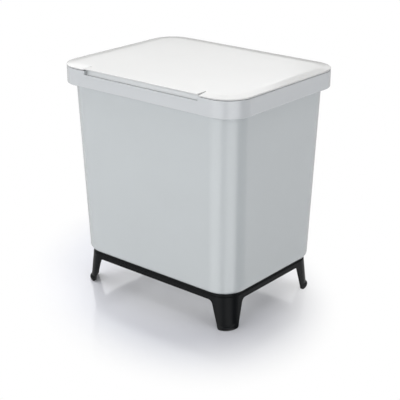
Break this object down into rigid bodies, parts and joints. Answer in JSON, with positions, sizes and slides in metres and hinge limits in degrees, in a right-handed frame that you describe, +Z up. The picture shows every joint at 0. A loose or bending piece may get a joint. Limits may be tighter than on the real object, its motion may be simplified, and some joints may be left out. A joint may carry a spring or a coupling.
{
  "type": "two-compartment kitchen bin",
  "caption": "Tapered kitchen waste bin on a black splayed-leg stand, with a clip-on rim collar, a rear-hinged flat lid with a finger tab, and lift-out inner buckets with bail handles.",
  "frame": {"origin": "on the floor under the middle of the bin", "axes": "+Z up, front of the bin with the finger tab towards -Y, +X to the right seen from the front"},
  "size_m": [0.35, 0.269, 0.371],
  "materials": {
    "bin_plastic": "satin moulded, pale cool white",
    "collar_plastic": "satin moulded, white",
    "lid_plastic": "satin moulded, white",
    "stand_plastic": "fine-grained black",
    "pin_steel": "drawn wire",
    "bucket_plastic": "satin moulded, mid grey",
    "bail_plastic": "satin moulded, dark grey"
  },
  "bodies": {
    "base": {"outer_bin": "bin_plastic", "rim_collar": "collar_plastic", "leg_stand": "stand_plastic", "hinge_pin_left": "pin_steel", "hinge_pin_right": "pin_steel"},
    "lid": {"lid": "lid_plastic"},
    "bucket_left": {"bucket_left": "bucket_plastic"},
    "bucket_right": {"bucket_right": "bucket_plastic"},
    "handle_left": {"handle_left": "bail_plastic"},
    "handle_right": {"handle_right": "bail_plastic"}
  },
  "joints": [
    {"name": "lid_hinge", "type": "hinge", "parent": "base", "child": "lid", "pos_m": [0, 0.1303, 0.352], "axis": [-1, 0, 0], "range_deg": [0, 100]},
    {"name": "bucket_left_lift", "type": "slide", "parent": "base", "child": "bucket_left", "axis": [0, 0, 1], "range_m": [0, 0.012]},
    {"name": "bucket_right_lift", "type": "slide", "parent": "base", "child": "bucket_right", "axis": [0, 0, 1], "range_m": [0, 0.012]},
    {"name": "handle_left_swing", "type": "hinge", "parent": "bucket_left", "child": "handle_left", "pos_m": [-0.07801, 0, 0.3247], "axis": [1, 0, 0], "range_deg": [0, 13]},
    {"name": "handle_right_swing", "type": "hinge", "parent": "bucket_right", "child": "handle_right", "pos_m": [0.07801, 0, 0.3247], "axis": [1, 0, 0], "range_deg": [0, 13]}
  ]
}
